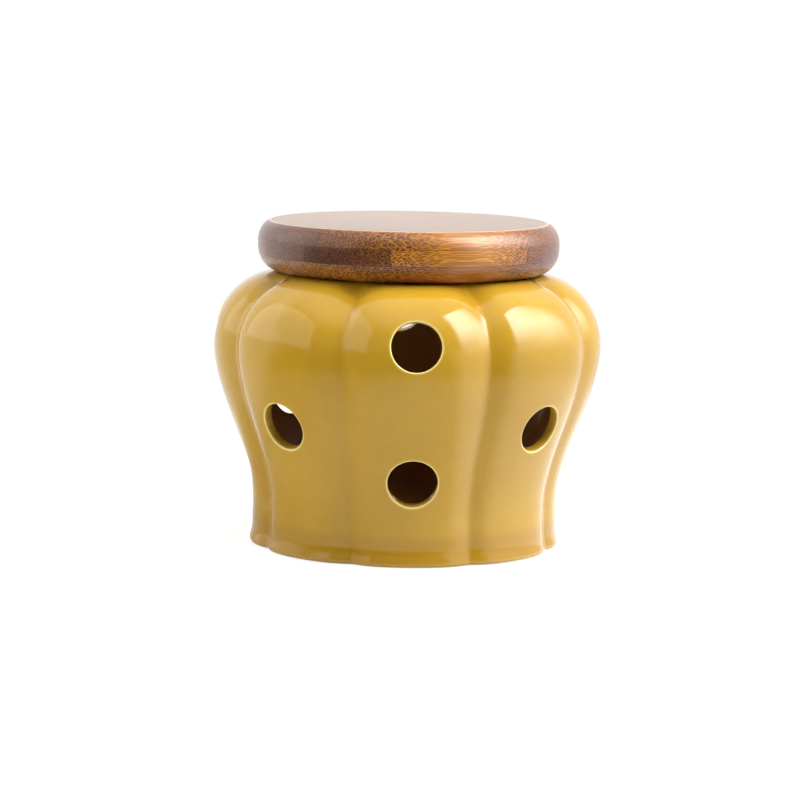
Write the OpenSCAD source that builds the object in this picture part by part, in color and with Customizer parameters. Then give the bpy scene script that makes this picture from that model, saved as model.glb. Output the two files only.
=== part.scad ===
// Garlic keeper: a glazed, lobed jar with vent holes, and a turned lid of
// laminated bamboo whose plug carries a soft sealing ring.
// The jar stands on Z = 0, centred on the Z axis, with one lobe facing -Y.

/* [Jar] */
// Width across two opposite lobes at the widest place
body_d = 122.5; // [114:0.5:134]
// Width across the straight band above the foot
waist_d = 96.6; // [88:0.2:106]
// How far the foot's edge spreads beyond the band, on each side
foot_spread = 1.3; // [0.4:0.1:3]
// Height over which the foot spreads
foot_h = 6; // [4:0.5:10]
// Rounding of the foot's outer edge
foot_edge = 1.2; // [0.6:0.1:2]
// Height at which the straight band ends and the wall starts to swell
band_h = 13.3; // [9:0.1:20]
// Height of the widest place
belly_z = 63.9; // [58:0.1:70]
// Height of the seat that the lid rests on
jar_h = 86; // [80:0.5:96]
// Thickness of the wall
wall = 3.2; // [2.6:0.1:4]
// Thickness of the floor
floor_t = 4; // [3:0.5:7]
// Curve between the floor and the wall, inside
floor_round = 8; // [4:0.5:12]
// Depth of the recess under the floor
recess_h = 1.5; // [0.5:0.25:3]
// Width of the ring that the jar stands on, under a lobe
foot_ring_w = 5.3; // [3.5:0.1:8]

/* [Mouth] */
// Width of the flat rim that carries the lid
rim_w = 2.5; // [1.5:0.1:4]
// Depth of the straight wall of the mouth
mouth_h = 6.5; // [5.8:0.1:9]
// Rounding of the mouth's edges
lip_round = 0.8; // [0.4:0.1:1.2]

/* [Lobes] */
// Number of lobes; lobes with two vents and with one vent take turns
lobes = 8; // [6:2:10]
// Depth of the valleys at the foot
valley_foot = 1.9; // [0.8:0.1:3]
// Depth of the valleys at the widest place
valley_belly = 3.2; // [1.6:0.1:4.4]
// Depth of the valleys on the shoulder
valley_shoulder = 3.3; // [2:0.1:4.6]
// Sharpness of the valleys: the higher, the flatter the lobes between them
valley_power = 4; // [2:0.25:5]
// Distance from the rim over which the valleys run out
valley_run_out = 7; // [4:0.5:10]
// Roundness of a valley's bottom, as a share of half a lobe
valley_soft = 0.06; // [0.04:0.01:0.3]
// Share of the valleys' depth that the inside of the wall follows
inside_follow = 0.8; // [0.6:0.05:1]

/* [Vents] */
// Diameter of a vent
vent_d = 15.2; // [11:0.2:18]
// Height of the lower vent on a lobe with two
vent_low_z = 26; // [22:0.5:30]
// Height of the upper vent on a lobe with two
vent_high_z = 69; // [64:0.5:71]
// Height of the vent on a lobe with one
vent_mid_z = 41.5; // [34:0.5:52]

/* [Lid] */
// Diameter of the lid
lid_d = 95; // [90:0.5:104]
// How far the lid reaches past the edge of the mouth
lid_overhang = 10; // [8:0.25:13]
// Thickness of the upper ply
top_ply_t = 5.5; // [4:0.1:8]
// Thickness of the middle ply
core_ply_t = 5; // [3.5:0.1:8]
// Thickness of the lower ply
base_ply_t = 5.5; // [4:0.1:8]
// Reach of the rounding of the upper edge, inwards
top_round_r = 5; // [2:0.25:9]
// Reach of the rounding of the upper edge, downwards
top_round_h = 6.5; // [3:0.25:8]
// Reach of the rounding of the lower edge, upwards
under_round_h = 8; // [4:0.25:9]
// Flat underside that the lid keeps beyond the rim of the jar
under_margin = 0.7; // [0.3:0.1:2]

/* [Bamboo strips] */
// Width of a bamboo strip, as a share of the lid's diameter
strip_share = 0.22; // [0.17:0.005:0.28]
// Direction of the fibres, from +X towards +Y
grain_angle = 19; // [0:1:90]
// Shift of the glue joints in the upper ply, as a share of a strip's width
top_joint = -0.2; // [-0.5:0.05:0.5]
// Shift of the glue joints in the middle ply
core_joint = 0; // [-0.5:0.05:0.5]
// Shift of the glue joints in the lower ply
base_joint = 0.35; // [-0.5:0.05:0.5]
// Shift of the glue joints in the plug
plug_joint = 0; // [-0.5:0.05:0.5]

/* [Plug and sealing ring] */
// Height of the plug under the lid
plug_h = 9; // [7.5:0.25:12]
// Gap between the plug and the wall of the mouth
plug_gap = 0.9; // [0.6:0.05:1.5]
// Chamfer of the plug's lower edge
plug_chamfer = 1; // [0.5:0.1:1.6]
// Distance from the rim down to the groove
groove_drop = 2; // [1.5:0.1:2.6]
// Height of the groove
groove_h = 3.6; // [3:0.1:4.2]
// Depth of the groove
groove_depth = 2.4; // [1.6:0.1:3.4]
// Clearance between the ring and the groove
ring_clear = 0.1; // [0.05:0.01:0.2]
// Clearance between the ring's fins and the mouth
fin_clear = 0.25; // [0.15:0.01:0.4]
// Thickness of a fin at its tip
fin_tip_t = 0.4; // [0.3:0.05:0.7]
// Thickness of a fin at its root
fin_root_t = 1.2; // [0.8:0.05:1.4]

/* [Hidden] */
body_r = body_d / 2;
waist_r = waist_d / 2;
lid_r = lid_d / 2;
lid_h = top_ply_t + core_ply_t + base_ply_t;
strip_w = lid_d * strip_share;
mouth_r = lid_r - lid_overhang;
seat_r = mouth_r + rim_w;
floor_z = recess_h + floor_t;
collar_z = jar_h - mouth_h;
collar_r = mouth_r + wall;
shoulder_w = body_r - seat_r;
shoulder_h = jar_h - belly_z;
lobe_angle = 360 / lobes;

plug_r = mouth_r - plug_gap;
groove_r = plug_r - groove_depth;
groove_z = jar_h - groove_drop - groove_h;
under_round_r = lid_overhang - rim_w - under_margin;
top_drop = min(top_round_h, 0.45 * lid_h);
under_rise = min(under_round_h, 0.53 * lid_h);

// How closely the curves are drawn
lobe_cuts = 12;
wall_cuts = 13;
inner_cuts = 9;
shoulder_step = 9;
arc_step = 30;
lid_arc_step = 9;
round_fn = 96;
// How far cutting shapes run past what they cut, and what the drill leaves in the mouth
over = 1;
mouth_excess = 0.2;
// The narrowest strip that a ply keeps at its edge
edge_strip_min = 2;

glaze = [0.83, 0.66, 0.26];
silicone = [0.88, 0.88, 0.84];
bamboo_tones = [[0.66, 0.45, 0.24], [0.56, 0.36, 0.18], [0.72, 0.52, 0.30], [0.61, 0.40, 0.20]];

// Plies of the lid and the plug: name, lower face, thickness, shift of the joints, radius
plies = [
    ["top_strip", jar_h + base_ply_t + core_ply_t, top_ply_t, top_joint * strip_w, lid_r],
    ["core_strip", jar_h + base_ply_t, core_ply_t, core_joint * strip_w, lid_r],
    ["base_strip", jar_h, base_ply_t, base_joint * strip_w, lid_r],
    ["plug_strip", jar_h - plug_h, plug_h, plug_joint * strip_w, plug_r]
];

// First glue joint of a ply from the -Y edge, and the number of strips
function first_joint(ply) =
    ply[3] - strip_w * floor((ply[4] - edge_strip_min + ply[3]) / strip_w);
function strip_count(ply) =
    2 + floor((ply[4] - edge_strip_min - first_joint(ply)) / strip_w);

// A smooth rise from 0 to 1
function ease(x) = let(c = max(0, min(1, x))) c * c * (3 - 2 * c);
function ease_slope(x) = (x < 0 || x > 1) ? 0 : 6 * x * (1 - x);

// Radius of a lobe's crest at height z, and how fast it changes with height
function crest_r(z) = z < belly_z
    ? waist_r + (body_r - waist_r) * ease((z - band_h) / (belly_z - band_h))
        + foot_spread * pow(max(0, 1 - z / foot_h), 2)
    : seat_r + shoulder_w * sqrt(1 - pow((z - belly_z) / shoulder_h, 2));
function crest_slope(z) = z < belly_z
    ? (body_r - waist_r) / (belly_z - band_h) * ease_slope((z - band_h) / (belly_z - band_h))
        - 2 * foot_spread / foot_h * max(0, 1 - z / foot_h)
    : let(q = (z - belly_z) / shoulder_h) -shoulder_w / shoulder_h * q / sqrt(1 - q * q);

// Depth of the valleys below the belly, and on the shoulder at angle t
function low_valley(z) = valley_foot + (valley_belly - valley_foot) * ease(z / belly_z);
function high_valley(t) =
    (valley_belly + (valley_shoulder - valley_belly) * ease(sin(t) / 0.75))
        * ease(shoulder_w * cos(t) / valley_run_out);

// Share of the valley's depth at phi, from -1 through the crest at 0 to 1
function valley_share(phi) =
    let(e = valley_soft, w = 1 - abs(phi), u = (sqrt(w * w + e * e) - e) / (sqrt(1 + e * e) - e))
    pow(1 - u, valley_power);

// A station of the jar's outline: radius, height, and the valley's depth and direction
function station(r, z, depth = 0, t = 0) = [r, z, depth * cos(t), depth * sin(t)];

foot_r = crest_r(foot_edge);
foot_stations = [for (a = [0 : arc_step : 90])
    station(foot_r - foot_edge * (1 - sin(a)), foot_edge * (1 - cos(a)), valley_foot)];
wall_stations = [for (i = [1 : wall_cuts])
    let(z = foot_edge + (belly_z - foot_edge) * i / wall_cuts)
    station(crest_r(z), z, low_valley(z))];
shoulder_stations = [for (t = [shoulder_step : shoulder_step : 90])
    station(seat_r + shoulder_w * cos(t), belly_z + shoulder_h * sin(t), high_valley(t), t)];
lip_stations = [
    station(mouth_r + lip_round, jar_h),
    station(mouth_r + lip_round * (1 - sin(45)), jar_h - lip_round * (1 - sin(45))),
    station(mouth_r - mouth_excess, jar_h - lip_round),
    station(mouth_r - mouth_excess, collar_z + lip_round),
    station(mouth_r + lip_round * (1 - sin(45)), collar_z + lip_round * (1 - sin(45))),
    station(mouth_r + lip_round, collar_z),
    station(collar_r - lip_round, collar_z),
    station(collar_r, collar_z + lip_round)
];
inner_shoulder_stations = [for (t = [90 - 2 * shoulder_step : -shoulder_step : shoulder_step])
    let(n = atan2(sin(t) / shoulder_h, cos(t) / shoulder_w))
    station(seat_r + shoulder_w * cos(t) - wall * cos(n), belly_z + shoulder_h * sin(t) - wall * sin(n),
        inside_follow * high_valley(t), t)];
inner_low_z = floor_z + floor_round;
function inner_r(z) = crest_r(z) - wall * sqrt(1 + pow(crest_slope(z), 2));
inner_wall_stations = [for (i = [0 : inner_cuts])
    let(z = belly_z - (belly_z - inner_low_z) * i / inner_cuts)
    station(i == 0 ? body_r - wall : inner_r(z), z, inside_follow * low_valley(z))];
floor_stations = [for (a = [arc_step : arc_step : 90])
    station(inner_r(inner_low_z) - floor_round * (1 - cos(a)), floor_z + floor_round * (1 - sin(a)),
        inside_follow * low_valley(inner_low_z) * cos(a))];

stations = concat(foot_stations, wall_stations, shoulder_stations, lip_stations,
    inner_shoulder_stations, inner_wall_stations, floor_stations);

// Azimuths around the jar, closer together in the valleys: angle and share of the depth
azimuths = [for (k = [0 : lobes - 1]) for (j = [0 : lobe_cuts - 1])
    let(phi = sin(90 * (2 * j / lobe_cuts - 1)))
    [-90 + lobe_angle * (k + phi / 2), valley_share(phi)]];

function ring(s) = [for (a = azimuths)
    let(r = s[0] - s[2] * a[1]) [r * cos(a[0]), r * sin(a[0]), s[1] - s[3] * a[1]]];

// The lobed shell with its floor, still with a plain foot and no vents
module jar_shell() {
    n = len(azimuths);
    m = len(stations);
    points = concat([for (s = stations) each ring(s)], [[0, 0, 0], [0, 0, floor_z]]);
    bands = [for (i = [0 : m - 2]) for (j = [0 : n - 1])
        let(a = i * n + j, b = i * n + (j + 1) % n)
        each [[a, a + n, b], [b, a + n, b + n]]];
    under = [for (j = [0 : n - 1]) [j, (j + 1) % n, m * n]];
    inside = [for (j = [0 : n - 1]) [(m - 1) * n + (j + 1) % n, (m - 1) * n + j, m * n + 1]];
    polyhedron(points, concat(bands, under, inside), convexity = 8);
}

// A vent's drill, square to the wall of the lobe at azimuth a, at height z
module vent_drill(a, z) {
    rotate([0, 0, a - 90])
        translate([crest_r(z), 0, z])
            rotate([0, 90 + atan(crest_slope(z)), 0])
                translate([0, 0, -2 * wall - over])
                    cylinder(d = vent_d, h = 3 * wall + 2 * over, $fn = round_fn);
}

module vent_drills() {
    for (k = [0 : 2 : lobes - 1]) {
        vent_drill(k * lobe_angle, vent_low_z);
        vent_drill(k * lobe_angle, vent_high_z);
        vent_drill((k + 1) * lobe_angle, vent_mid_z);
    }
}

module jar() {
    color(glaze) difference() {
        jar_shell();
        translate([0, 0, collar_z - over])
            cylinder(r = mouth_r, h = mouth_h + 2 * over, $fn = 2 * round_fn);
        translate([0, 0, -over])
            cylinder(r = waist_r - foot_ring_w, h = recess_h + over, $fn = 2 * round_fn);
        vent_drills();
    }
}

// The ring: a band in the groove, with two fins towards the mouth
module seal_ring() {
    inner = groove_r + ring_clear;
    tip = mouth_r - fin_clear;
    low = groove_z + ring_clear;
    band = groove_h - 2 * ring_clear;
    fins = [for (k = [1, 3]) let(mid = low + k * band / 4) each [
        [plug_r, mid - fin_root_t / 2],
        [tip, mid - fin_tip_t / 2],
        [tip, mid + fin_tip_t / 2],
        [plug_r, mid + fin_root_t / 2]
    ]];
    color(silicone) rotate_extrude($fn = round_fn)
        polygon(concat([[inner, low], [plug_r, low]], fins, [[plug_r, low + band], [inner, low + band]]));
}

// The lid as it is turned, above the rim
module lid_blank() {
    under = [for (a = [0 : lid_arc_step : 90])
        [lid_r - under_round_r * (1 - sin(a)), jar_h + under_rise * (1 - cos(a))]];
    upper = [for (a = [0 : lid_arc_step : 90])
        [lid_r - top_round_r * (1 - cos(a)), jar_h + lid_h - top_drop * (1 - sin(a))]];
    rotate_extrude($fn = round_fn)
        polygon(concat([[0, jar_h]], under, upper, [[0, jar_h + lid_h]]));
}

// The plug as it is turned, with the groove for the ring
module plug_blank() {
    low = jar_h - plug_h;
    rotate_extrude($fn = round_fn) polygon([
        [0, low],
        [plug_r - plug_chamfer, low],
        [plug_r, low + plug_chamfer],
        [plug_r, groove_z],
        [groove_r, groove_z],
        [groove_r, groove_z + groove_h],
        [plug_r, groove_z + groove_h],
        [plug_r, jar_h],
        [0, jar_h]
    ]);
}

// Strip i of a ply, counted from the -Y edge: the blank between two glue joints
module bamboo_strip(ply, i) {
    first = first_joint(ply);
    low = i == 1 ? -lid_d : first + (i - 2) * strip_w;
    high = i == strip_count(ply) ? lid_d : first + (i - 1) * strip_w;
    color(bamboo_tones[(i + len(ply[0])) % len(bamboo_tones)]) intersection() {
        if (ply[0] == "plug_strip") plug_blank();
        else lid_blank();
        rotate([0, 0, grain_angle])
            translate([-lid_d, low, ply[1]])
                cube([2 * lid_d, high - low, ply[2]]);
    }
}

jar();
seal_ring();
for (ply = plies) for (i = [1 : strip_count(ply)])
    bamboo_strip(ply, i);
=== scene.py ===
"""Garlic keeper: a glazed, lobed jar with vents and a laminated bamboo lid, dressed around its frame."""

import math

import bmesh
import bpy
import numpy as np
from mathutils import Matrix, Vector


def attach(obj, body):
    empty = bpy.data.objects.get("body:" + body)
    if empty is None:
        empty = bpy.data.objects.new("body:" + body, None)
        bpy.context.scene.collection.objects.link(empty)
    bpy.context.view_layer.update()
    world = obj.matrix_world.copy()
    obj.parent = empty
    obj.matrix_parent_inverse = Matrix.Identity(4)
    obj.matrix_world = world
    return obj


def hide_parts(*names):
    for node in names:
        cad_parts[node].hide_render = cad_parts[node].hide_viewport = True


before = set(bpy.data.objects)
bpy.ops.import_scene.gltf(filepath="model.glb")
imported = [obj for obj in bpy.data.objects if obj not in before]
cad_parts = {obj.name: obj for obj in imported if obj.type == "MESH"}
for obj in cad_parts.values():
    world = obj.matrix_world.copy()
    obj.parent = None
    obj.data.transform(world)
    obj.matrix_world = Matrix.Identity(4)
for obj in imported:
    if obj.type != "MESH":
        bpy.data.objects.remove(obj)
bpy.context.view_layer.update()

MM = 0.001

# ---------------------------------------------------------------- sizes in millimetres, as in the source
# The body is 0.06 narrower than in the source, so that this finer mesh stays within the solid's box
BODY_R = 122.44 / 2
WAIST_R = 96.6 / 2
FOOT_SPREAD = 1.3
FOOT_H = 6.0
BAND_H = 13.3
BELLY_Z = 63.9
JAR_H = 86.0
WALL = 3.2
FLOOR_T = 4.0
FLOOR_ROUND = 8.0
RECESS_H = 1.5
FOOT_RING_W = 5.3

LOBES = 8
VALLEY_FOOT = 1.9
VALLEY_BELLY = 3.2
VALLEY_SHOULDER = 3.3
VALLEY_RUN_OUT = 7.0
VALLEY_SOFT = 0.06
VALLEY_POWER = 4
INSIDE_FOLLOW = 0.8

VENT_R = 15.2 / 2
VENT_LOW_Z = 26.0
VENT_HIGH_Z = 69.0
VENT_MID_Z = 41.5

LID_R = 95.0 / 2
LID_OVERHANG = 10.0
RIM_W = 2.5
MOUTH_H = 6.5
LIP_ROUND = 0.8
TOP_PLY, CORE_PLY, BASE_PLY = 5.5, 5.0, 5.5
TOP_ROUND_R = 5.0
TOP_ROUND_H = 6.5
UNDER_ROUND_H = 8.0
UNDER_MARGIN = 0.7

# Strips: width as a share of the lid's, way of the grain, each ply's joints shifted by shares of that
# width, and how near to a ply's edge a joint may lie
STRIP_SHARE = 0.22
GRAIN = math.radians(19)
TOP_JOINT, CORE_JOINT, BASE_JOINT, PLUG_JOINT = -0.2, 0.0, 0.35, 0.0
LEAST_STRIP = 2.0

PLUG_H = 9.0
PLUG_GAP = 0.9
PLUG_CHAMFER = 1.0
GROOVE_DROP = 2.0
GROOVE_H = 3.6
GROOVE_DEPTH = 2.4
RING_CLEAR = 0.1
FIN_CLEAR = 0.25
FIN_TIP_T = 0.4
FIN_ROOT_T = 1.2

MOUTH_R = LID_R - LID_OVERHANG
SEAT_R = MOUTH_R + RIM_W
SHOULDER_W = BODY_R - SEAT_R
SHOULDER_H = JAR_H - BELLY_Z
CORE_Z = JAR_H + BASE_PLY
TOP_PLY_Z = JAR_H + BASE_PLY + CORE_PLY
LID_H = TOP_PLY + CORE_PLY + BASE_PLY
UNDER_ROUND_R = LID_OVERHANG - RIM_W - UNDER_MARGIN
PLUG_R = MOUTH_R - PLUG_GAP
GROOVE_R = PLUG_R - GROOVE_DEPTH
GROOVE_Z = JAR_H - GROOVE_DROP - GROOVE_H
FLOOR_Z = RECESS_H + FLOOR_T
STRIP_W = 2 * LID_R * STRIP_SHARE
LOBE = 2 * math.pi / LOBES
FRONT = -math.pi / 2

# ---------------------------------------------------------------- camera
PHOTO_SIZE = 800
FOCAL_PX = 3037.8
DISTANCE = 0.9635
ELEVATION = math.radians(7.26)
TURN = math.radians(2.75)
ROLL = math.radians(0.96)
TARGET = Vector((0, 0, 0.051))
TARGET_PX = (406.46, 381.13)
SENSOR_W = 36


def make_camera():
    """The photograph's camera, turned about the target and rolled, with the target off the middle."""
    back = Vector((-math.sin(TURN) * math.cos(ELEVATION), -math.cos(TURN) * math.cos(ELEVATION),
                   math.sin(ELEVATION)))
    right = Vector((math.cos(TURN), -math.sin(TURN), 0))
    up = back.cross(right)
    right_rolled = math.cos(ROLL) * right + math.sin(ROLL) * up
    up_rolled = math.cos(ROLL) * up - math.sin(ROLL) * right
    data = bpy.data.cameras.new("camera")
    data.sensor_width = SENSOR_W
    data.lens = data.sensor_width * FOCAL_PX / PHOTO_SIZE
    data.shift_x = -(TARGET_PX[0] - PHOTO_SIZE / 2) / PHOTO_SIZE
    data.shift_y = (TARGET_PX[1] - PHOTO_SIZE / 2) / PHOTO_SIZE
    camera = bpy.data.objects.new("camera", data)
    place = Matrix((right_rolled, up_rolled, back)).transposed().to_4x4()
    place.translation = TARGET + back * DISTANCE
    camera.matrix_world = place
    bpy.context.scene.collection.objects.link(camera)
    bpy.context.scene.camera = camera


make_camera()


# ---------------------------------------------------------------- mesh helpers
def make_object(name, points, faces, attributes=None):
    """A mesh object from points in millimetres and faces, with float attributes on its points."""
    mesh = bpy.data.meshes.new(name)
    mesh.from_pydata([tuple(p) for p in np.asarray(points) * MM], [], faces)
    for key, values in (attributes or {}).items():
        layer = mesh.attributes.new(key, "FLOAT", "POINT")
        layer.data.foreach_set("value", np.asarray(values, np.float32))
    mesh.validate()
    thing = bpy.data.objects.new(name, mesh)
    bpy.context.scene.collection.objects.link(thing)
    return thing


def finish_mesh(thing, smooth_angle, merge=1e-6):
    """Merges doubled points, drops empty faces, turns normals outwards and shades smooth up to an angle."""
    bm = bmesh.new()
    bm.from_mesh(thing.data)
    bmesh.ops.remove_doubles(bm, verts=bm.verts, dist=merge)
    bmesh.ops.dissolve_degenerate(bm, edges=bm.edges, dist=merge)
    bmesh.ops.recalc_face_normals(bm, faces=bm.faces)
    bm.to_mesh(thing.data)
    bm.free()
    for poly in thing.data.polygons:
        poly.use_smooth = True
    thing.data.set_sharp_from_angle(angle=math.radians(smooth_angle))


def bezier(a, b, c, count):
    """Points strictly between a and c on the arc that leaves a and reaches c towards b."""
    for i in range(1, count):
        t = i / count
        yield (1 - t) ** 2 * a + 2 * t * (1 - t) * b + t * t * c


def arc(centre_r, centre_z, reach_r, reach_z, start, end, step=4):
    """Points of an elliptical arc, from one angle to another, in degrees."""
    count = max(1, round(abs(end - start) / step))
    for a in np.radians(np.linspace(start, end, count + 1)):
        yield centre_r + reach_r * math.cos(a), centre_z + reach_z * math.sin(a)


# ---------------------------------------------------------------- the jar's surfaces
# A place on the outline is s: the height up to the belly, and above that the belly's height plus the
# shoulder's angle, in radians, times the shoulder's height
RIM_S = BELLY_Z + SHOULDER_H * math.pi / 2
# Sine of the shoulder's angle at which the valleys reach their shoulder depth
VALLEYS_FULL_AT = 0.75


def ease(x):
    """Goes smoothly from 0 to 1 while x does, and stays level outside that."""
    c = np.clip(x, 0, 1)
    return c * c * (3 - 2 * c)


def ease_slope(x):
    """Slope of ease."""
    return np.where((x < 0) | (x > 1), 0, 6 * x * (1 - x))


def crest(s):
    """Crest of a lobe at s: radius, height and outward normal."""
    s = np.asarray(s, float)
    t = np.maximum(s - BELLY_Z, 0) / SHOULDER_H
    z_low = np.minimum(s, BELLY_Z)
    rise = BELLY_Z - BAND_H
    x = (z_low - BAND_H) / rise
    spread = np.maximum(0, 1 - z_low / FOOT_H)
    r_low = WAIST_R + (BODY_R - WAIST_R) * ease(x) + FOOT_SPREAD * spread ** 2
    slope = (BODY_R - WAIST_R) / rise * ease_slope(x) - 2 * FOOT_SPREAD / FOOT_H * spread
    high = s > BELLY_Z
    r = np.where(high, SEAT_R + SHOULDER_W * np.cos(t), r_low)
    z = np.where(high, BELLY_Z + SHOULDER_H * np.sin(t), z_low)
    nr = np.where(high, np.cos(t) / SHOULDER_W, 1.0)
    nz = np.where(high, np.sin(t) / SHOULDER_H, -slope)
    length = np.hypot(nr, nz)
    return r, z, nr / length, nz / length


def valley_depth(s):
    """Depth of the valleys at s, and the direction in which they sink."""
    s = np.asarray(s, float)
    t = np.clip((s - BELLY_Z) / SHOULDER_H, 0, math.pi / 2)
    low = VALLEY_FOOT + (VALLEY_BELLY - VALLEY_FOOT) * ease(s / BELLY_Z)
    high = VALLEY_BELLY + (VALLEY_SHOULDER - VALLEY_BELLY) * ease(np.sin(t) / VALLEYS_FULL_AT)
    high = high * ease(SHOULDER_W * np.cos(t) / VALLEY_RUN_OUT)
    return np.where(s > BELLY_Z, high, low), np.cos(t), np.sin(t)


def valley_share(angle):
    """0 on a crest, 1 in a valley; one crest faces the front."""
    phi = (np.mod(angle - FRONT + LOBE / 2, LOBE) - LOBE / 2) / (LOBE / 2)
    w = 1 - np.abs(phi)
    e = VALLEY_SOFT
    u = (np.sqrt(w * w + e * e) - e) / (math.sqrt(1 + e * e) - e)
    return (1 - u) ** VALLEY_POWER


def surface(angle, s, inside):
    """Point of the jar's outer or inner surface, in millimetres."""
    r, z, nr, nz = crest(s)
    depth, dr, dz = valley_depth(s)
    sink = depth * valley_share(angle)
    if inside:
        r, z = r - WALL * nr, z - WALL * nz
        sink = sink * INSIDE_FOLLOW
    r, z = r - dr * sink, z - dz * sink
    return np.stack([r * np.cos(angle), r * np.sin(angle), z], -1)


class Vent:
    """A round hole square to the wall, with its rounded edges."""

    edge_out = 0.7
    edge_in = 0.35
    solve_steps = 12

    def __init__(self, angle, z):
        self.angle = angle
        self.s = z if z < BELLY_Z else BELLY_Z + SHOULDER_H * math.asin((z - BELLY_Z) / SHOULDER_H)
        self.r, z, nr, nz = (float(v) for v in crest(self.s))
        c, d = math.cos(angle), math.sin(angle)
        self.centre = np.array([self.r * c, self.r * d, z])
        self.axis = np.array([nr * c, nr * d, nz])
        self.side = np.array([-d, c, 0.0])
        self.up = np.cross(self.axis, self.side)

    def meet(self, around, radius, inside):
        """Where the cylinder of a radius about the axis meets a surface: angle and s for each direction."""
        target_a, target_b = radius * np.cos(around), radius * np.sin(around)
        angle = self.angle + target_a / self.r
        s = self.s + target_b
        step = 1e-4
        step_s = step * self.r

        def miss(a, b):
            p = surface(a, b, inside) - self.centre
            return p @ self.side - target_a, p @ self.up - target_b

        for _ in range(self.solve_steps):
            f, g = miss(angle, s)
            fa, ga = miss(angle + step, s)
            fs, gs = miss(angle, s + step_s)
            j11, j21 = (fa - f) / step, (ga - g) / step
            j12, j22 = (fs - f) / step_s, (gs - g) / step_s
            det = j11 * j22 - j12 * j21
            angle = angle - (f * j22 - g * j12) / det
            s = s - (g * j11 - f * j21) / det
        return angle, s


def vents():
    """Two vents on every second lobe, from the front one, and one on those between."""
    for k in range(LOBES):
        angle = FRONT + k * LOBE
        for z in (VENT_LOW_Z, VENT_HIGH_Z) if k % 2 == 0 else (VENT_MID_Z,):
            yield Vent(angle, z)


# ---------------------------------------------------------------- the jar's mesh
# Columns run up the jar, and rows round it; the shared rows are those of both surfaces that vents cut
COLUMNS_PER_LOBE = 28
SHARED_LOW_S = FLOOR_Z + FLOOR_ROUND
SHARED_HIGH_S = BELLY_Z + SHOULDER_H * math.radians(70)
SHARED_ROWS, LOW_ROWS, HIGH_ROWS = 66, 11, 12
SHARED_S = np.linspace(SHARED_LOW_S, SHARED_HIGH_S, SHARED_ROWS)
UNDER_LIP_SHARES = (0.4, 0.2)
VENT_REACH = 10.6
VENT_STEPS = (0.4, 0.7, 0.9)
VENT_EDGE_PALE = (0.35, 0.9, 1.0, 0.7, 0.2)
VENT_INNER_CUTS = 4
LIP_PALE = 0.6
ROUND_STEPS = np.radians(np.linspace(0, 90, 5))
FLOOR_STEPS = np.radians(np.linspace(0, 90, 9)[1:])

# The foot: where its outer rounding ends on the outline, how far that reaches inwards and in how many cuts,
# how pale its glaze is, and how far inside the foot ring a further row lies in the recess
FOOT_EDGE_S = 1.6
FOOT_EDGE_W = 1.5
FOOT_EDGE_CUTS = 6
FOOT_PALE = 0.12
RECESS_ROW_IN = 6.0
# Outline of the foot ring's inner edge: steps outwards from it and heights
FOOT_RING_EDGE = [(-0.8, RECESS_H), (-0.2, RECESS_H - 0.2), (0, RECESS_H - 0.7),
                  (0.1, 0.5), (0.3, 0.12), (0.8, 0)]


def column_angles():
    """Angles of the mesh's columns, which stand closer in the valleys."""
    x = np.linspace(-1, 1, COLUMNS_PER_LOBE, endpoint=False)
    phi = 0.5 * x + 0.5 * np.sin(x * math.pi / 2)
    return np.concatenate([FRONT + LOBE * (k + phi / 2) for k in range(LOBES)])


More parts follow.
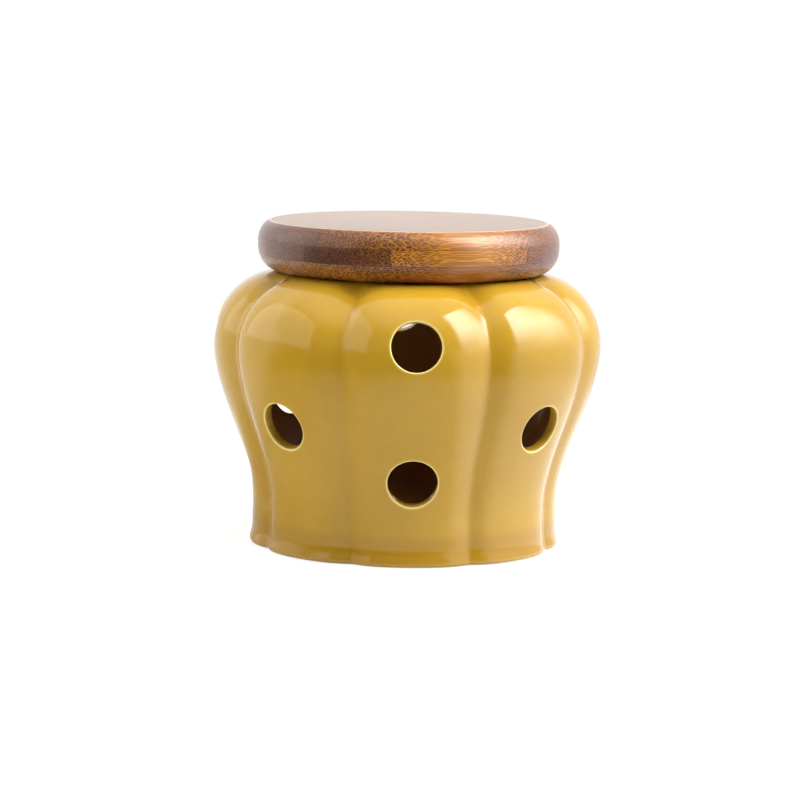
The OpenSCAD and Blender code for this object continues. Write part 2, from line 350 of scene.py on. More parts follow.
class JarMesh:
    """The jar as one closed mesh of rows, each a ring of points, with a patch round each vent.

    Each point is marked with how much it is thin glaze over a rim, the darker inside, or bare clay.
    """

    def __init__(self):
        self.points = []
        self.faces = []
        self.marks = {"rim": [], "inside": [], "bare": []}
        self.angles = column_angles()
        self.columns = len(self.angles)

    def add(self, points, **marks):
        """Adds points with their marks and gives their indices."""
        points = np.asarray(points, float).reshape(-1, 3)
        start = len(self.points)
        self.points.extend(points)
        for key, values in self.marks.items():
            values.extend(np.broadcast_to(marks.get(key, 0.0), len(points)))
        return list(range(start, start + len(points)))

    def turned(self, r, z, sink=0.0, **marks):
        """A row at a radius and height, sunk in the valleys."""
        r = r - sink * valley_share(self.angles)
        height = np.full(self.columns, float(z))
        return self.add(np.stack([r * np.cos(self.angles), r * np.sin(self.angles), height], -1), **marks)

    def wall(self, s, inside):
        """A row of the outer or inner surface."""
        return self.add(surface(self.angles, np.full(self.columns, s), inside), inside=float(inside))

    def foot(self):
        """Rows from the middle of the recess, over the foot ring, to the end of its outer rounding."""
        ring_r = WAIST_R - FOOT_RING_W
        rows = [self.add([[0, 0, RECESS_H]], bare=1.0)]
        rows.append(self.turned(ring_r - RECESS_ROW_IN, RECESS_H, bare=1.0))
        rows += [self.turned(ring_r + out, z, bare=1.0) for out, z in FOOT_RING_EDGE]
        r0, z0, n_r, n_z = (float(v) for v in crest(FOOT_EDGE_S))
        corner = r0 + z0 * n_z / n_r
        flat_r = corner - FOOT_EDGE_W
        rows.append(self.turned(flat_r, 0, VALLEY_FOOT, bare=1.0))
        for r, z in bezier(np.array([flat_r, 0]), np.array([corner, 0]), np.array([r0, z0]),
                           FOOT_EDGE_CUTS):
            rows.append(self.turned(r, z, VALLEY_FOOT, rim=FOOT_PALE))
        return rows

    def lip(self):
        """Rows over the mouth's rounded edge, down its wall, and round the wall's lower end."""
        low = JAR_H - MOUTH_H
        corners = [(LIP_ROUND * (1 - math.sin(a)), LIP_ROUND * (1 - math.cos(a))) for a in ROUND_STEPS]
        rows = [self.turned(MOUTH_R + across, JAR_H - down, rim=LIP_PALE) for across, down in corners]
        rows += [self.turned(MOUTH_R + across, low + up, inside=0.6) for across, up in corners[::-1]]
        rows += [self.turned(MOUTH_R + WALL - across, low + up, inside=1.0) for across, up in corners]
        return rows

    def floor(self):
        """Rows from the foot of the inner wall, round the curve, to the middle of the floor."""
        r1, z1, n_r, n_z = (float(v) for v in crest(SHARED_LOW_S))
        wall_r, wall_z = r1 - WALL * n_r, z1 - WALL * n_z
        sink = VALLEY_FOOT * INSIDE_FOLLOW
        rows = []
        for a in FLOOR_STEPS:
            r = wall_r - FLOOR_ROUND * (1 - math.cos(a))
            z = wall_z - (wall_z - FLOOR_Z) * math.sin(a)
            rows.append(self.turned(r, z, sink * math.cos(a), inside=1.0))
        rows.append(self.turned((wall_r - FLOOR_ROUND) * 0.5, FLOOR_Z, inside=1.0))
        rows.append(self.add([[0, 0, FLOOR_Z]], inside=1.0))
        return rows

    def frame_of(self, vent):
        """The cells of the shared rows that a vent takes out, and the loop of grid points round them."""
        turn = (self.angles - vent.angle + math.pi) % (2 * math.pi) - math.pi
        chosen = [i for i in np.argsort(turn) if abs(turn[i]) * vent.r < VENT_REACH]
        i0, wide = int(chosen[0]), len(chosen) - 1
        near = np.where(np.abs(SHARED_S - vent.s) < VENT_REACH)[0]
        j0, j1 = int(near[0]), int(near[-1])

        def column(k):
            return (i0 + k) % self.columns

        cells = {(j, column(k)) for j in range(j0, j1) for k in range(wide)}
        loop = [(j0, column(k)) for k in range(wide)]
        loop += [(j, column(wide)) for j in range(j0, j1)]
        loop += [(j1, column(k)) for k in range(wide, 0, -1)]
        loop += [(j, column(0)) for j in range(j1, j0, -1)]
        loop_a = vent.angle + np.array([turn[i] for _, i in loop])
        loop_s = np.array([SHARED_S[j] for j, _ in loop])
        return cells, loop, loop_a, loop_s

    def patch(self, vent, rows, loop, loop_a, loop_s, inside, edge):
        """Rings from the grid's edge to where a vent's rounding starts, and the sharp corner it rounds."""
        around = np.arctan2(loop_s - vent.s, (loop_a - vent.angle) * vent.r)
        a1, s1 = vent.meet(around, VENT_R + edge, inside)
        rings = [[rows[j][i] for j, i in loop]]
        for f in VENT_STEPS:
            a, s = loop_a + (a1 - loop_a) * f, loop_s + (s1 - loop_s) * f
            rings.append(self.add(surface(a, s, inside), inside=float(inside)))
        start = surface(a1, s1, inside)
        rings.append(self.add(start, rim=0.1, inside=float(inside)))
        a2, s2 = vent.meet(around, VENT_R, inside)
        return rings, start, surface(a2, s2, inside)

    def cut_vent(self, vent, outer_rows, inner_rows):
        """Cuts a vent with its rounded edges through both surfaces, and gives the cells taken out."""
        cells, loop, loop_a, loop_s = self.frame_of(vent)
        rings, p1, corner_out = self.patch(vent, outer_rows, loop, loop_a, loop_s, False, vent.edge_out)
        in_rings, q1, corner_in = self.patch(vent, inner_rows, loop, loop_a, loop_s, True, vent.edge_in)
        p2 = corner_out - vent.axis * vent.edge_out
        q2 = corner_in + vent.axis * vent.edge_in
        for pale, row in zip(VENT_EDGE_PALE, bezier(p1, corner_out, p2, len(VENT_EDGE_PALE) + 1)):
            rings.append(self.add(row, rim=pale))
        rings.append(self.add(p2, rim=0.2))
        rings.append(self.add((p2 + q2) / 2, inside=0.25))
        rings.append(self.add(q2, inside=0.5))
        for row in bezier(q2, corner_in, q1, VENT_INNER_CUTS):
            rings.append(self.add(row, inside=0.8))
        rings += in_rings[::-1]
        for low, high in zip(rings, rings[1:]):
            for k in range(len(loop)):
                m = (k + 1) % len(loop)
                self.faces.append((low[k], low[m], high[m], high[k]))
        return cells

    def join(self, a, b, left_out):
        """Faces between two rows, apart from some columns; a row of one point is a middle."""
        for i in range(self.columns):
            k = (i + 1) % self.columns
            if i in left_out:
                continue
            if len(a) == 1:
                self.faces.append((a[0], b[k], b[i]))
            elif len(b) == 1:
                self.faces.append((a[i], a[k], b[0]))
            else:
                self.faces.append((a[i], a[k], b[k], b[i]))

    def drop_unused(self):
        """Takes out the grid points that only the removed cells used."""
        used = sorted({i for face in self.faces for i in face})
        new_index = {i: k for k, i in enumerate(used)}
        self.faces = [tuple(new_index[i] for i in face) for face in self.faces]
        self.points = [self.points[i] for i in used]
        self.marks = {key: [values[i] for i in used] for key, values in self.marks.items()}


def build_jar():
    """The whole jar: both surfaces, lip, foot, floor and twelve round-edged vents."""
    jar = JarMesh()
    foot = jar.foot()
    low = [jar.wall(s, False) for s in np.linspace(FOOT_EDGE_S, SHARED_LOW_S, LOW_ROWS)[:-1]]
    outer = [jar.wall(s, False) for s in SHARED_S]
    high = [jar.wall(s, False) for s in np.linspace(SHARED_HIGH_S, RIM_S, HIGH_ROWS)[1:]]
    lip = jar.lip()
    under_lip = [jar.wall(SHARED_HIGH_S + (RIM_S - SHARED_HIGH_S) * f, True) for f in UNDER_LIP_SHARES]
    inner = [jar.wall(s, True) for s in SHARED_S]
    floor = jar.floor()

    cut = set()
    for vent in vents():
        cut |= jar.cut_vent(vent, outer, inner)

    rows = foot + low + outer + high + lip + under_lip + inner[::-1] + floor
    first_outer = len(foot) + len(low)
    first_inner = first_outer + len(outer) + len(high) + len(lip) + len(under_lip)
    last = len(SHARED_S) - 1
    for row in range(len(rows) - 1):
        outer_cell = row - first_outer
        inner_cell = first_inner + last - 1 - row
        cells = {j for j in (outer_cell, inner_cell) if 0 <= j < last}
        jar.join(rows[row], rows[row + 1], {i for j, i in cut if j in cells})
    jar.drop_unused()

    valley = valley_share(np.arctan2([p[1] for p in jar.points], [p[0] for p in jar.points]))
    thing = make_object("jar_glazed", jar.points, jar.faces, dict(jar.marks, valley=valley))
    finish_mesh(thing, smooth_angle=60, merge=1e-7)
    return thing


# ---------------------------------------------------------------- the turned lid
CUTS_PER_STRIP = 26
RING_STEPS = 180


def flange_profile():
    """Outline of the lid's edge, from its underside to its flat top."""
    under = list(arc(LID_R - UNDER_ROUND_R, JAR_H + UNDER_ROUND_H, UNDER_ROUND_R, UNDER_ROUND_H, -90, 0))
    upper = list(arc(LID_R - TOP_ROUND_R, JAR_H + LID_H - TOP_ROUND_H, TOP_ROUND_R, TOP_ROUND_H, 0, 90))
    return under + upper


def plug_profile():
    """Outline of the plug, from its chamfer past the groove to the lid's underside."""
    low = JAR_H - PLUG_H
    soft = 0.25
    lean = 0.02
    return [
        (PLUG_R - PLUG_CHAMFER - soft, low), (PLUG_R - PLUG_CHAMFER, low + soft * 0.3),
        (PLUG_R - soft * 0.3, low + PLUG_CHAMFER), (PLUG_R, low + PLUG_CHAMFER + soft),
        (PLUG_R, GROOVE_Z - soft), (PLUG_R - soft, GROOVE_Z),
        (GROOVE_R, GROOVE_Z + lean), (GROOVE_R, GROOVE_Z + GROOVE_H - lean),
        (PLUG_R - soft, GROOVE_Z + GROOVE_H), (PLUG_R, GROOVE_Z + GROOVE_H + soft),
        (PLUG_R, JAR_H),
    ]


def between(profile, low, high):
    """The part of a turned outline between two heights, cut exactly there."""
    rows = []
    for (r0, z0), (r1, z1) in zip(profile, profile[1:]):
        if low <= z0 <= high:
            rows.append((r0, z0))
        for z in (low, high):
            if z0 < z < z1:
                rows.append((r0 + (r1 - r0) * (z - z0) / (z1 - z0), z))
    if low <= profile[-1][1] <= high:
        rows.append(profile[-1])
    return rows


def strip_points(profile, low, high):
    """Points of a strip: on each row of its outline, one side's arc and then the other's."""
    for r, z in profile:
        a0 = math.asin(max(-1.0, low / r))
        a1 = math.asin(min(1.0, high / r))
        for side in (1, -1):
            for k in range(CUTS_PER_STRIP + 1):
                a = a0 + (a1 - a0) * k / CUTS_PER_STRIP
                u, v = side * r * math.cos(a), r * math.sin(a)
                yield (u * math.cos(GRAIN) - v * math.sin(GRAIN),
                       u * math.sin(GRAIN) + v * math.cos(GRAIN), z)


def strip_faces(rows):
    """Faces of a strip: its turned sides, its two glued sides, and its underside and top."""
    cuts = CUTS_PER_STRIP
    top = rows - 1

    def at(row, side, k):
        return (2 * row + side) * (cuts + 1) + k

    for row in range(top):
        up = row + 1
        for k in range(cuts):
            yield (at(row, 0, k), at(row, 0, k + 1), at(up, 0, k + 1), at(up, 0, k))
            yield (at(row, 1, k + 1), at(row, 1, k), at(up, 1, k), at(up, 1, k + 1))
        yield (at(row, 1, 0), at(row, 0, 0), at(up, 0, 0), at(up, 1, 0))
        yield (at(row, 0, cuts), at(row, 1, cuts), at(up, 1, cuts), at(up, 0, cuts))
    for k in range(cuts):
        yield (at(0, 1, k), at(0, 1, k + 1), at(0, 0, k + 1), at(0, 0, k))
        yield (at(top, 0, k), at(top, 0, k + 1), at(top, 1, k + 1), at(top, 1, k))


def build_strip(name, profile, low, high):
    """A turned strip between two glue joints: low and high are places across the fibres."""
    points = list(strip_points(profile, low, high))
    strip = make_object(name, points, list(strip_faces(len(profile))))
    finish_mesh(strip, smooth_angle=30)
    return strip


def ring_profile():
    """Outline of the sealing ring: a band in the groove and two soft fins."""
    low = GROOVE_Z + RING_CLEAR
    band = GROOVE_H - 2 * RING_CLEAR
    high = low + band
    inner = GROOVE_R + RING_CLEAR
    tip_r = FIN_TIP_T / 2
    tip = MOUTH_R - FIN_CLEAR - tip_r
    soft = 0.15
    root_soft = 0.2
    outline = [(inner, low + soft), (inner + soft, low), (PLUG_R - soft, low), (PLUG_R, low + soft)]
    for k in (1, 3):
        mid = low + k * band / 4
        foot, head = mid - FIN_ROOT_T / 2, mid + FIN_ROOT_T / 2
        outline += [(PLUG_R, foot), (PLUG_R + soft, foot + root_soft)]
        outline += list(arc(tip, mid, tip_r, tip_r, -90, 90, step=45))
        outline += [(PLUG_R + soft, head - root_soft), (PLUG_R, head)]
    outline += [(PLUG_R, high - soft), (PLUG_R - soft, high), (inner + soft, high), (inner, high - soft)]
    return outline


def build_ring():
    """The silicone ring, turned about the jar's axis."""
    outline = ring_profile()
    around = np.linspace(0, 2 * math.pi, RING_STEPS, endpoint=False)
    points = [(r * math.cos(a), r * math.sin(a), z) for a in around for r, z in outline]
    n, m = len(outline), len(around)
    faces = [(j * n + i, ((j + 1) % m) * n + i, ((j + 1) % m) * n + (i + 1) % n, j * n + (i + 1) % n)
             for j in range(m) for i in range(n)]
    ring = make_object("seal_ring_soft", points, faces)
    finish_mesh(ring, smooth_angle=40)
    return ring


# ---------------------------------------------------------------- materials
class Nodes:
    """A short way to write a node tree."""

    def __init__(self, tree):
        self.tree = tree

    def put(self, value, socket):
        """Links another socket to a socket, or sets a plain value on it."""
        if isinstance(value, bpy.types.NodeSocket):
            self.tree.links.new(value, socket)
        else:
            socket.default_value = value

    def fill(self, made, values):
        """Puts values into a node's first sockets, in order, and gives its first output."""
        for socket, value in zip(made.inputs, values):
            self.put(value, socket)
        return made.outputs[0]

    def node(self, kind, settings=None, **inputs):
        """A node with its settings and its inputs by name, where _ stands for a blank."""
        made = self.tree.nodes.new(kind)
        for key, value in (settings or {}).items():
            setattr(made, key, value)
        for key, value in inputs.items():
            self.put(value, made.inputs[key.replace("_", " ")])
        return made

    def math(self, operation, *values):
        return self.fill(self.node("ShaderNodeMath", {"operation": operation}), values)

    def remap(self, value, low, high, to_low=0.0, to_high=1.0):
        """Goes smoothly from to_low to to_high while the value goes from low to high."""
        made = self.node("ShaderNodeMapRange", {"interpolation_type": "SMOOTHSTEP"})
        return self.fill(made, (value, low, high, to_low, to_high))

    def mix(self, share, a, b, blend="MIX"):
        """A colour: a where share is 0, b where it is 1."""
        made = self.node("ShaderNodeMix", {"data_type": "RGBA", "blend_type": blend})
        for key, value in (("Factor", share), ("A", a), ("B", b)):
            self.put(value, made.inputs[key])
        return made.outputs["Result"]

    def noise(self, where, scale, detail=3.0, rough=0.5):
        made = self.node("ShaderNodeTexNoise", Vector=where, Scale=scale, Detail=detail, Roughness=rough)
        return made.outputs["Fac"]

    def attribute(self, name):
        return self.node("ShaderNodeAttribute", {"attribute_name": name}).outputs["Fac"]

    def place(self, kind="Object"):
        """A texture coordinate."""
        return self.node("ShaderNodeTexCoord").outputs[kind]

    def split(self, vector):
        """The three numbers of a vector."""
        parts = self.node("ShaderNodeSeparateXYZ", Vector=vector).outputs
        return parts["X"], parts["Y"], parts["Z"]

    def bump(self, height, strength, distance, normal=None):
        made = self.node("ShaderNodeBump", Height=height, Strength=strength, Distance=distance)
        if normal is not None:
            self.put(normal, made.inputs["Normal"])
        return made.outputs["Normal"]

    def mix_shaders(self, share, a, b):
        """A shader: a where share is 0, b where it is 1."""
        return self.fill(self.node("ShaderNodeMixShader"), (share, a, b))

    def glow(self, kind, strength):
        """A white light-giving shader."""
        return self.node(kind, Color=(1, 1, 1, 1), Strength=strength).outputs[0]

    def finish(self, shader, kind="ShaderNodeOutputMaterial"):
        """Ends the tree in its output."""
        output = self.tree.nodes.new(kind)
        self.tree.links.new(shader, output.inputs["Surface"])


def new_material(name):
    """An empty material and the nodes to write it with."""
    material = bpy.data.materials.new(name)
    material.use_nodes = True
    material.node_tree.nodes.clear()
    return material, Nodes(material.node_tree)


def srgb(r, g, b):
    """A colour written as it looks, 0 to 255, as linear light."""
    def one(c):
        c /= 255
        return c / 12.92 if c <= 0.04045 else ((c + 0.055) / 1.055) ** 2.4
    return one(r), one(g), one(b), 1.0


# Colours of the jar, and the heights in metres between which painted shade darkens the glaze towards the
# foot
MUSTARD = srgb(184, 143, 34)
MUSTARD_CLOUD = srgb(190, 149, 40)
MUSTARD_FINE = srgb(166, 124, 28)
MUSTARD_VALLEY = srgb(172, 128, 26)
MUSTARD_FOOT_SHADE = srgb(158, 108, 18)
MUSTARD_INSIDE = srgb(172, 118, 40)
IRON_SPECK = srgb(120, 84, 34)
THIN_GLAZE = srgb(250, 234, 150)
CLAY_DARK = srgb(198, 182, 156)
CLAY_PALE = srgb(222, 208, 186)
FOOT_SHADE_LOW, FOOT_SHADE_HIGH = 0.0075, 0.0105


def glaze_material():
    """Glossy mustard glaze, paler where thin, with clouds and orange peel, and bare clay on the foot."""
    material, n = new_material("mustard_glaze")
    where = n.place()
    rim, inside, bare = n.attribute("rim"), n.attribute("inside"), n.attribute("bare")
    valley = n.attribute("valley")
    cloud = n.remap(n.noise(where, 28.0, 2.0), 0.35, 0.65)
    fine = n.remap(n.noise(where, 420.0, 3.0), 0.3, 0.7)
    speck = n.remap(n.noise(where, 1500.0, 1.0), 0.74, 0.8)
    height = n.split(where)[2]
    colour = n.mix(cloud, MUSTARD, MUSTARD_CLOUD)
    colour = n.mix(n.math("MULTIPLY", fine, 0.10), colour, MUSTARD_FINE)
    colour = n.mix(n.math("MULTIPLY", valley, 0.25), colour, MUSTARD_VALLEY)
    colour = n.mix(n.math("MULTIPLY", speck, 0.35), colour, IRON_SPECK)
    # Painted shade: the glaze is darker towards the foot
    colour = n.mix(n.remap(height, FOOT_SHADE_LOW, FOOT_SHADE_HIGH, 0.3, 0.0), colour, MUSTARD_FOOT_SHADE)
    colour = n.mix(n.math("MULTIPLY", rim, 0.9), colour, THIN_GLAZE)
    colour = n.mix(inside, colour, MUSTARD_INSIDE)
    colour = n.mix(bare, colour, n.mix(n.noise(where, 900.0, 4.0), CLAY_DARK, CLAY_PALE))
    normal = n.bump(n.noise(where, 45.0, 1.0), 0.35, 0.0006)
    normal = n.bump(n.noise(where, 700.0, 1.0), 0.05, 0.0001, normal)
    dull = n.math("MAXIMUM", n.math("MULTIPLY", bare, 0.6), n.math("MULTIPLY", inside, 0.35))
    roughness = n.math("ADD", n.math("MULTIPLY", fine, 0.03), dull)
    shader = n.node("ShaderNodeBsdfPrincipled", Base_Color=colour, Normal=normal,
                    Roughness=n.math("ADD", roughness, 0.05))
    shader.inputs["IOR"].default_value = 1.52
    n.finish(shader.outputs["BSDF"])
    return material


# Bamboo: colours of its flat top, partly the wood's own tone and partly painted sheen, and of a painted
# highlight along the top edge, tints of the lid's darker ends, partly painted shade, and distances in
# metres:
# how far below the flat top the face begins and the painted edge highlight reaches, half the width of a
# glue line, and how far from the middle the cut ends of the fibres begin to show and show in full
TOP_FACE_TONE_AND_SHEEN = srgb(206, 158, 118)
EDGE_HIGHLIGHT_TONE = srgb(228, 204, 184)
LEFT_SHADE_TINT = (0.27, 0.18, 0.05, 1.0)
RIGHT_SHADE_TINT = (0.52, 0.38, 0.08, 1.0)
TOP_Z = (JAR_H + LID_H) * MM
FACE_FROM, FACE_FULL = 0.0003, 0.00012
EDGE_HIGHLIGHT_FROM, EDGE_HIGHLIGHT_FULL, EDGE_HIGHLIGHT_END = 0.00045, 0.00025, 0.00003
GLUE_CORE, GLUE_EDGE = 0.00004, 0.00016
CUT_FROM, CUT_FULL = 0.003, 0.022


def bamboo_fibres(n, where, u, v, z, seed):
    """Patterns of a strip's fibres: bundles that show as dots on cut ends, streaks, and a broad tone."""
    wander = n.math("MULTIPLY", n.noise(where, 45.0, 2.0), 0.002)
    along = n.math("MULTIPLY", u, 0.012)
    fibre = n.node("ShaderNodeCombineXYZ", X=n.math("ADD", v, wander), Y=z, Z=along).outputs["Vector"]
    moved = n.node("ShaderNodeMapping", Vector=fibre, Location=(seed * 0.37, seed * 0.61, seed * 0.83),
                   Rotation=(0, 0, math.radians(37 + 3 * seed))).outputs["Vector"]
    cells = n.node("ShaderNodeTexVoronoi", {"voronoi_dimensions": "2D"}, Vector=moved, Scale=1900.0,
                   Randomness=0.6).outputs["Distance"]
    cut_end = n.remap(n.math("ABSOLUTE", u), CUT_FROM, CUT_FULL, 0.42, 1.0)
    dots = n.math("MULTIPLY", n.remap(cells, 0.33, 0.45, 1.0, 0.0), cut_end)
    return dots, n.noise(moved, 1300.0, 3.0, 0.65), n.noise(moved, 240.0, 2.0)


def glue_lines(n, lines):
    """1 on the glue lines of a strip, which are given as an axis and a place on it, and 0 elsewhere."""
    glue = 0.0
    for axis, place in lines:
        gap = n.math("ABSOLUTE", n.math("SUBTRACT", axis, place * MM))
        glue = n.math("MAXIMUM", glue, n.remap(gap, GLUE_CORE, GLUE_EDGE, 1.0, 0.0))
    return glue


def bamboo_material(name, ground, bundle, seed, lean, joints, faces):
    """Bamboo strip: fibre bundles that show as dots on cut ends, a paler flat top that is partly painted
    sheen, and glue lines.
    """
    material, n = new_material(name)
    where = n.place()
    turned = n.node("ShaderNodeMapping", {"vector_type": "TEXTURE"}, Vector=where,
                    Rotation=(0, 0, GRAIN)).outputs["Vector"]
    u, v, z = n.split(turned)
    dots, streak, broad = bamboo_fibres(n, where, u, v, z, seed)
    pale = tuple(min(255, c * 1.25 + 8) for c in ground)
    colour = n.mix(n.remap(broad, 0.3, 0.7), srgb(*[c * 0.94 for c in ground]), srgb(*ground))
    colour = n.mix(n.math("MULTIPLY", n.remap(streak, 0.48, 0.7), 0.7), colour, srgb(*pale))
    colour = n.mix(n.math("MULTIPLY", dots, n.remap(streak, 0.3, 0.65, 1.0, 0.65)), colour, srgb(*bundle))
    face = n.remap(z, TOP_Z - FACE_FROM, TOP_Z - FACE_FULL)
    edge = n.math("SUBTRACT", 1.0, face)
    # The lid's ends are darker: partly the wood's own tone, partly painted shade
    left_end_shade = n.math("MULTIPLY", edge, n.remap(u, -0.045, -0.004, lean, 0.0))
    right_end_shade = n.math("MULTIPLY", edge, n.remap(u, 0.006, 0.03))
    colour = n.mix(left_end_shade, colour, LEFT_SHADE_TINT, "MULTIPLY")
    colour = n.mix(right_end_shade, colour, RIGHT_SHADE_TINT, "MULTIPLY")
    # The paler flat top: partly the wood's own tone, partly painted sheen
    colour = n.mix(n.math("MULTIPLY", face, 0.35), colour, TOP_FACE_TONE_AND_SHEEN)
    # Painted highlight: a pale line where the flat top meets the rounded edge
    above = n.remap(z, TOP_Z - FACE_FULL, TOP_Z - EDGE_HIGHLIGHT_END, 1.0, 0.0)
    painted_edge_highlight = n.math("MULTIPLY", n.remap(z, TOP_Z - EDGE_HIGHLIGHT_FROM, TOP_Z - EDGE_HIGHLIGHT_FULL), above)
    colour = n.mix(n.math("MULTIPLY", painted_edge_highlight, 0.32), colour, EDGE_HIGHLIGHT_TONE)
    glue = glue_lines(n, [(v, place) for place in joints] + [(z, place) for place in faces])
    colour = n.mix(n.math("MULTIPLY", glue, 0.6), colour, srgb(*[c * 0.5 for c in bundle]))
    relief = n.math("ADD", n.math("MULTIPLY", dots, -0.6), streak)
    normal = n.bump(relief, n.remap(edge, 0.0, 1.0, 0.08, 0.36), 0.00018)
    shader = n.node("ShaderNodeBsdfPrincipled", Base_Color=colour, Normal=normal, Coat_Normal=normal,
                    Roughness=n.remap(streak, 0.3, 0.8, 0.5, 0.62))
    shader.inputs["Specular IOR Level"].default_value = 0.05
    shader.inputs["Coat Weight"].default_value = 1.0
    shader.inputs["Coat Roughness"].default_value = 0.24
    shader.inputs["Coat IOR"].default_value = 1.6
    n.finish(shader.outputs["BSDF"])
    return material


def silicone_material():
    """Milky silicone with a matt, slightly cloudy face."""
    material, n = new_material("milky_silicone")
    where = n.place()
    cloud = n.noise(where, 90.0, 3.0)
    colour = n.mix(cloud, srgb(214, 212, 204), srgb(230, 229, 222))
    normal = n.bump(n.noise(where, 2500.0, 2.0), 0.15, 0.00005)
    shader = n.node("ShaderNodeBsdfPrincipled", Base_Color=colour, Normal=normal,
                    Roughness=n.remap(cloud, 0.3, 0.7, 0.38, 0.5))
    shader.inputs["Subsurface Weight"].default_value = 0.15
    shader.inputs["Subsurface Radius"].default_value = (0.002, 0.002, 0.0018)
    n.finish(shader.outputs["BSDF"])
    return material


# ---------------------------------------------------------------- the pieces
jar = build_jar()
jar.data.materials.append(glaze_material())
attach(jar, "jar")
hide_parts("jar")

ring = build_ring()
ring.data.materials.append(silicone_material())
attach(ring, "seal")
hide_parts("seal_ring")

# Colours of each strip from the -Y edge: ground and fibre bundles, 0 to 255, and how much one end darkens,
# partly the wood's own tone and partly painted shade
GOLD = ((192, 124, 32), (74, 32, 2))
HONEY = ((172, 106, 24), (60, 24, 2))
TAN = ((172, 108, 34), (64, 30, 4))
BROWN = ((160, 94, 26), (56, 24, 2))
# Each ply: name, underside, thickness, shift of its joints in strip widths, radius, outline and strips
PLIES = [
    ("top_strip", TOP_PLY_Z, TOP_PLY, TOP_JOINT, LID_R, flange_profile(),
     [(HONEY, 0.8), (HONEY, 0.9), (HONEY, 0.85), (GOLD, 0.4), (BROWN, 0.3)]),
    ("core_strip", CORE_Z, CORE_PLY, CORE_JOINT, LID_R, flange_profile(),
     [(GOLD, 0.1), (BROWN, 1.0), (TAN, 0.85), (TAN, 0.7), (BROWN, 0.4), (GOLD, 0.3)]),
    ("base_strip", JAR_H, BASE_PLY, BASE_JOINT, LID_R, flange_profile(),
     [(BROWN, 0.35), (TAN, 0.25), (TAN, 0.4), (GOLD, 0.1), (BROWN, 0.1)]),
    ("plug_strip", JAR_H - PLUG_H, PLUG_H, PLUG_JOINT, PLUG_R, plug_profile(),
     [(GOLD, 0.1), (TAN, 0.1), (GOLD, 0.1), (TAN, 0.1)]),
]
for row, (ply, floor, thick, shift, radius, profile, looks) in enumerate(PLIES):
    joints = [(shift + k) * STRIP_W for k in range(-5, 6)]
    joints = [place for place in joints if abs(place) < radius - LEAST_STRIP]
    edges = [-radius] + joints + [radius]
    for i, ((tones, lean), low, high) in enumerate(zip(looks, edges, edges[1:])):
        node = f"{ply}_{i + 1}"
        strip = build_strip(node + "_bamboo", between(profile, floor, floor + thick), low, high)
        glue = [place for place in (low, high) if abs(place) < radius]
        looks_like = bamboo_material(node, *tones, 1 + i + 7 * row, lean, glue, (floor, floor + thick))
        strip.data.materials.append(looks_like)
        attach(strip, "lid")
        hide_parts(node)


# ---------------------------------------------------------------- floor, world and lamps
FLOOR_RADIUS = 4
FLOOR_DROP = 0.0002
FLOOR_BOUNCE = (0.72, 0.72, 0.72, 1)
FLOOR_SHADE = (0.3, 0.3, 0.3, 1)
FLOOR_GLOW = 0.8
WORLD_FILL = 0.04
WORLD_OVERHEAD = 0.25
LAMP_AIM = Vector((0, 0, 0.06))


def choose(n, share, a, b):
    """a where share is 0, b where it is 1."""
    first = n.math("MULTIPLY", n.math("SUBTRACT", 1.0, share), a)
    return n.math("ADD", first, n.math("MULTIPLY", share, b))


def seen_directly(n, path):
    """1 for what the camera or a reflection sees, 0 for light that lands on other things."""
    mirrored = n.math("MAXIMUM", path["Is Glossy Ray"], path["Is Transmission Ray"])
    return n.math("MAXIMUM", path["Is Camera Ray"], mirrored)


def open_side(n, side, behind):
    """How bright the distance is in reflections: white to the right and behind, dark to the front left."""
    right = n.remap(side, 0.4, 0.75, 0.0, 1.3)
    return n.math("MAXIMUM", right, n.remap(behind, -0.25, 0.1, 0.05, 1.1))


def near_reflections(n, x, reach, side, behind):
    """How bright the near floor is in reflections: under the object, to the left behind, to the right."""
    left = n.math("MULTIPLY", n.remap(side, -0.2, -0.6, 0.0, 0.6), n.remap(behind, -0.25, 0.1))
    under = n.remap(x, -0.13, -0.03, 0.0, 0.45)
    left = n.math("MULTIPLY_ADD", left, n.remap(reach, 0.1, 0.15), under)
    return n.math("ADD", left, n.remap(side, 0.4, 0.72, 0.0, 0.95))


def make_floor():
    """A pale floor that looks white round the object and keeps the object's shadow."""
    bpy.ops.mesh.primitive_circle_add(vertices=96, radius=FLOOR_RADIUS, fill_type="NGON",
                                      location=(0, 0, -FLOOR_DROP))
    floor = bpy.context.active_object
    floor.name = "floor"
    material, n = new_material("floor_white")
    path = n.node("ShaderNodeLightPath").outputs
    glossy = path["Is Glossy Ray"]
    where = n.place()
    x, y, _ = n.split(where)
    reach = n.node("ShaderNodeVectorMath", {"operation": "LENGTH"}, Vector=where).outputs["Value"]
    side, behind = n.math("DIVIDE", x, reach), n.math("DIVIDE", y, reach)
    plain = n.node("ShaderNodeBsdfDiffuse", Color=FLOOR_BOUNCE).outputs["BSDF"]
    lit = n.node("ShaderNodeBsdfDiffuse", Color=FLOOR_SHADE).outputs["BSDF"]
    base = n.glow("ShaderNodeEmission",
                  choose(n, glossy, FLOOR_GLOW, near_reflections(n, x, reach, side, behind)))
    near = n.fill(n.node("ShaderNodeAddShader"), (lit, base))
    far = n.glow("ShaderNodeEmission", choose(n, glossy, 1.0, open_side(n, side, behind)))
    distance = choose(n, glossy, n.remap(reach, 0.2, 0.6), n.remap(reach, 0.13, 0.3))
    white = n.mix_shaders(distance, near, far)
    n.finish(n.mix_shaders(seen_directly(n, path), plain, white))
    floor.data.materials.append(material)


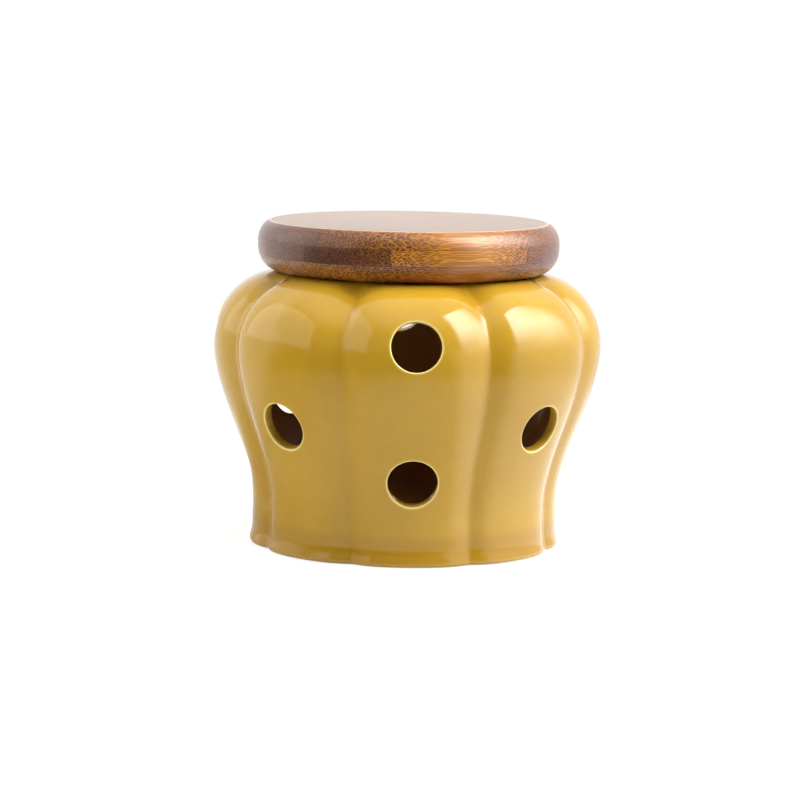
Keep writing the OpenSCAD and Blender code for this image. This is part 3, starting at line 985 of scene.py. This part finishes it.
def make_world():
    """Soft fill; a white backdrop, greyer overhead, is what the camera and reflections see."""
    world = bpy.data.worlds.new("studio")
    bpy.context.scene.world = world
    world.use_nodes = True
    n = Nodes(world.node_tree)
    n.tree.nodes.clear()
    path = n.node("ShaderNodeLightPath").outputs
    x, y, z = n.split(n.place("Generated"))
    above = n.math("SUBTRACT", z, n.remap(y, -0.2, 0.4, 0.15, 0.7))
    level = n.remap(above, 0.0, 0.12, open_side(n, x, y), WORLD_OVERHEAD)
    level = n.math("ADD", level, n.remap(z, 0.6, 0.95))
    level = n.math("MAXIMUM", level, path["Is Camera Ray"])
    fill = n.glow("ShaderNodeBackground", WORLD_FILL)
    backdrop = n.glow("ShaderNodeBackground", level)
    n.finish(n.mix_shaders(seen_directly(n, path), fill, backdrop), "ShaderNodeOutputWorld")


def fade_edges(lamp, fades):
    """Darkens a lamp towards its left, right, lower and upper edges, each over a share of its size."""
    lamp.use_nodes = True
    n = Nodes(lamp.node_tree)
    x, y, _ = n.split(n.place("UV"))
    strength = 1.0
    places = (x, n.math("SUBTRACT", 1.0, x), y, n.math("SUBTRACT", 1.0, y))
    for place, width in zip(places, fades):
        if width:
            strength = n.math("MULTIPLY", strength, n.remap(place, 0.0, width))
    n.put(strength, n.tree.nodes["Emission"].inputs["Strength"])


def hang(lamp, place, facing, in_glaze):
    """Puts a lamp in the scene, facing one way: it shows in reflections only, or lights without showing."""
    thing = bpy.data.objects.new(lamp.name, lamp)
    thing.location = place
    thing.rotation_euler = facing.to_track_quat("-Z", "Y").to_euler()
    thing.visible_diffuse = not in_glaze
    thing.visible_glossy = in_glaze
    bpy.context.scene.collection.objects.link(thing)


def panel(name, azimuth, across, up, level, fades):
    """An upright rectangular lamp 1 m from the object, at an azimuth from the front, for the reflections.

    across is its reach to the left and right of that line, and up its lower and upper edge, in
    metres. fades gives the share over which its left, right, lower and upper edges grow dark.
    """
    a = math.radians(azimuth)
    out = Vector((math.sin(a), -math.cos(a), 0))
    side = Vector((math.cos(a), math.sin(a), 0))
    width, height = across[1] - across[0], up[1] - up[0]
    lamp = bpy.data.lights.new(name, "AREA")
    lamp.shape = "RECTANGLE"
    lamp.size, lamp.size_y = width, height
    lamp.energy = level * math.pi * width * height
    fade_edges(lamp, fades)
    middle = out + side * (across[0] + across[1]) / 2 + Vector((0, 0, (up[0] + up[1]) / 2))
    hang(lamp, middle, -out, in_glaze=True)


def soft_box(name, azimuth, elevation, size, level):
    """A square lamp 1 m from the object that lights it without showing in the glaze."""
    a, e = math.radians(azimuth), math.radians(elevation)
    place = LAMP_AIM + Vector((math.sin(a) * math.cos(e), -math.cos(a) * math.cos(e), math.sin(e)))
    lamp = bpy.data.lights.new(name, "AREA")
    lamp.size = size
    lamp.energy = level * math.pi * size ** 2
    hang(lamp, place, LAMP_AIM - place, in_glaze=False)


make_floor()
make_world()
soft_box("right_fill", azimuth=80, elevation=45, size=0.7, level=9.2)
soft_box("left_fill", azimuth=-95, elevation=20, size=1.0, level=2.5)
soft_box("top_fill", azimuth=10, elevation=80, size=1.0, level=3.6)
panel("key", azimuth=60, across=(-0.4, 1.9), up=(0.05, 2.35), level=10.7, fades=(0.1, 0.83, 0.4, 0.08))
panel("left_wall", azimuth=-85, across=(-0.84, 0.84), up=(0.15, 1.2), level=1.1, fades=(0, 0, 0.1, 0))

bpy.context.scene.view_settings.view_transform = "Standard"
